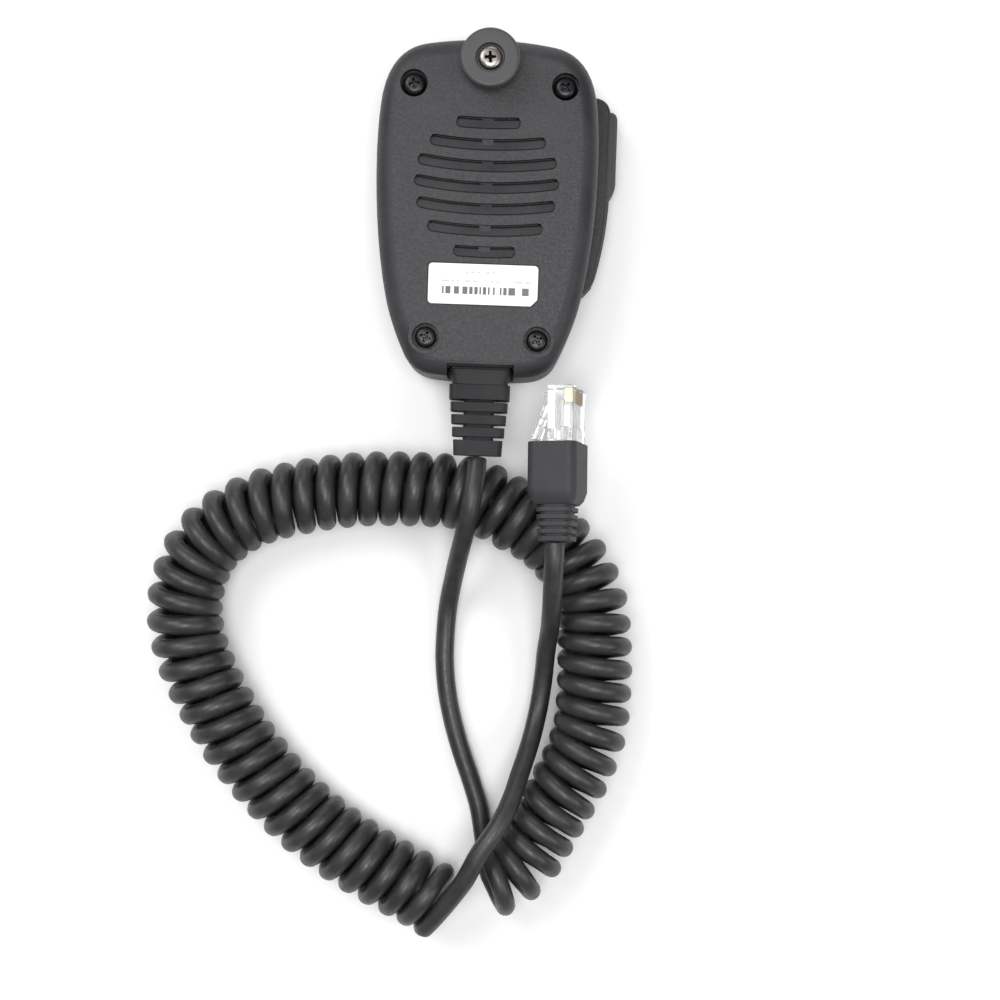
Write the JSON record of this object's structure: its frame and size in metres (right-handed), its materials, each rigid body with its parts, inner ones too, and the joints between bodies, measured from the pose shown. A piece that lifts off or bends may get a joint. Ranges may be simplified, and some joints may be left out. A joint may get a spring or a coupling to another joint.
{
  "type": "hand microphone",
  "caption": "Hand microphone with rear louvres, hang-up stud, side talk bar, top keys and a curly cord ending in a clear modular plug.",
  "frame": {"origin": "centre of the flat front face, on which the microphone lies", "axes": "+Y towards the hang-up stud end, +Z out of the back of the case, +X to the talk bar side"},
  "size_m": [0.1277, 0.2344, 0.0372],
  "materials": {
    "case_plastic": "fine spark texture, charcoal",
    "stud_plastic": "smooth satin, dark grey",
    "key_plastic": "satin",
    "switch_plunger": "smooth",
    "soft_rubber": "matte moulded",
    "boot_rubber": "matte moulded",
    "cord_jacket": "satin jacket",
    "black_steel": "black oxide, slight gloss",
    "nickel": "nickel plated",
    "brass_fitting": "plain",
    "steel_pin": "plain",
    "gilt": "gilt",
    "clear_plastic": "clear moulded",
    "label_film": "printed film",
    "grille_cloth": "fine black woven",
    "laminate": "solder mask",
    "switch_body": "moulded",
    "capsule_can": "drawn can",
    "nylon": "natural nylon"
  },
  "bodies": {
    "root": {"rear_cover": "case_plastic", "front_cover": "case_plastic", "hang_button": "stud_plastic", "hang_button_spacer": "stud_plastic", "hang_button_screw": "nickel", "hang_button_nut": "brass_fitting", "id_label": "label_film", "ptt_pivot_pin": "steel_pin", "ptt_switch": "switch_body", "up_switch": "switch_body", "down_switch": "switch_body", "circuit_board": "laminate", "mic_capsule": "capsule_can", "capsule_holder": "soft_rubber", "front_grille_cloth": "grille_cloth", "rear_grille_cloth": "grille_cloth", "preamp_chip": "switch_body", "coupling_capacitor": "switch_body", "board_connector": "nylon", "wire_bundle": "cord_jacket", "cable_tail": "cord_jacket", "cord_clamp": "key_plastic", "strain_relief": "soft_rubber", "mic_lead": "cord_jacket", "curly_cord": "cord_jacket", "plug_lead": "cord_jacket", "plug_boot": "boot_rubber", "plug_body": "clear_plastic", "case_screw_1": "black_steel", "board_screw_1": "steel_pin", "case_screw_2": "black_steel", "board_screw_2": "steel_pin", "case_screw_3": "black_steel", "board_screw_3": "steel_pin", "case_screw_4": "black_steel", "board_screw_4": "steel_pin", "clamp_screw_1": "steel_pin", "clamp_screw_2": "steel_pin", "contact_1": "gilt", "contact_2": "gilt", "contact_3": "gilt", "contact_4": "gilt", "contact_5": "gilt", "contact_6": "gilt", "contact_7": "gilt", "contact_8": "gilt"},
    "ptt_lever": {"ptt_lever": "key_plastic"},
    "ptt_switch_plunger": {"ptt_switch_plunger": "switch_plunger"},
    "up_key": {"up_key": "key_plastic"},
    "down_key": {"down_key": "key_plastic"},
    "up_switch_plunger": {"up_switch_plunger": "switch_plunger"},
    "down_switch_plunger": {"down_switch_plunger": "switch_plunger"},
    "plug_latch": {"plug_latch": "clear_plastic"}
  },
  "joints": [
    {"name": "ptt_press", "type": "hinge", "parent": "root", "child": "ptt_lever", "pos_m": [0.0273, -0.015, 0.0066], "axis": [0, 0, 1], "range_deg": [0, 2.4], "stiffness_Nm_per_rad": 0.5, "springref_deg": -1.72},
    {"name": "ptt_plunger_slide", "type": "slide", "parent": "root", "child": "ptt_switch_plunger", "axis": [-1, 0, 0], "range_m": [0, 0.0014]},
    {"name": "up_key_press", "type": "slide", "parent": "root", "child": "up_key", "axis": [0, -1, 0], "range_m": [0, 0.0006], "stiffness_N_per_m": 400, "springref_m": -0.0006},
    {"name": "down_key_press", "type": "slide", "parent": "root", "child": "down_key", "axis": [0, -1, 0], "range_m": [0, 0.0006], "stiffness_N_per_m": 400, "springref_m": -0.0006},
    {"name": "up_plunger_slide", "type": "slide", "parent": "root", "child": "up_switch_plunger", "axis": [0, -1, 0], "range_m": [0, 0.0006]},
    {"name": "down_plunger_slide", "type": "slide", "parent": "root", "child": "down_switch_plunger", "axis": [0, -1, 0], "range_m": [0, 0.0006]},
    {"name": "plug_latch_flex", "type": "hinge", "parent": "root", "child": "plug_latch", "pos_m": [0.01825, -0.04763, 0.02475], "axis": [-0.3106, 0.0769, 0.9474], "range_deg": [0, 10], "stiffness_Nm_per_rad": 0.1, "springref_deg": -1.72}
  ],
  "couplings": [
    {"joint": "ptt_plunger_slide", "follows": "ptt_press", "m_per_rad": 0.033},
    {"joint": "up_plunger_slide", "follows": "up_key_press", "ratio": 1},
    {"joint": "down_plunger_slide", "follows": "down_key_press", "ratio": 1}
  ]
}
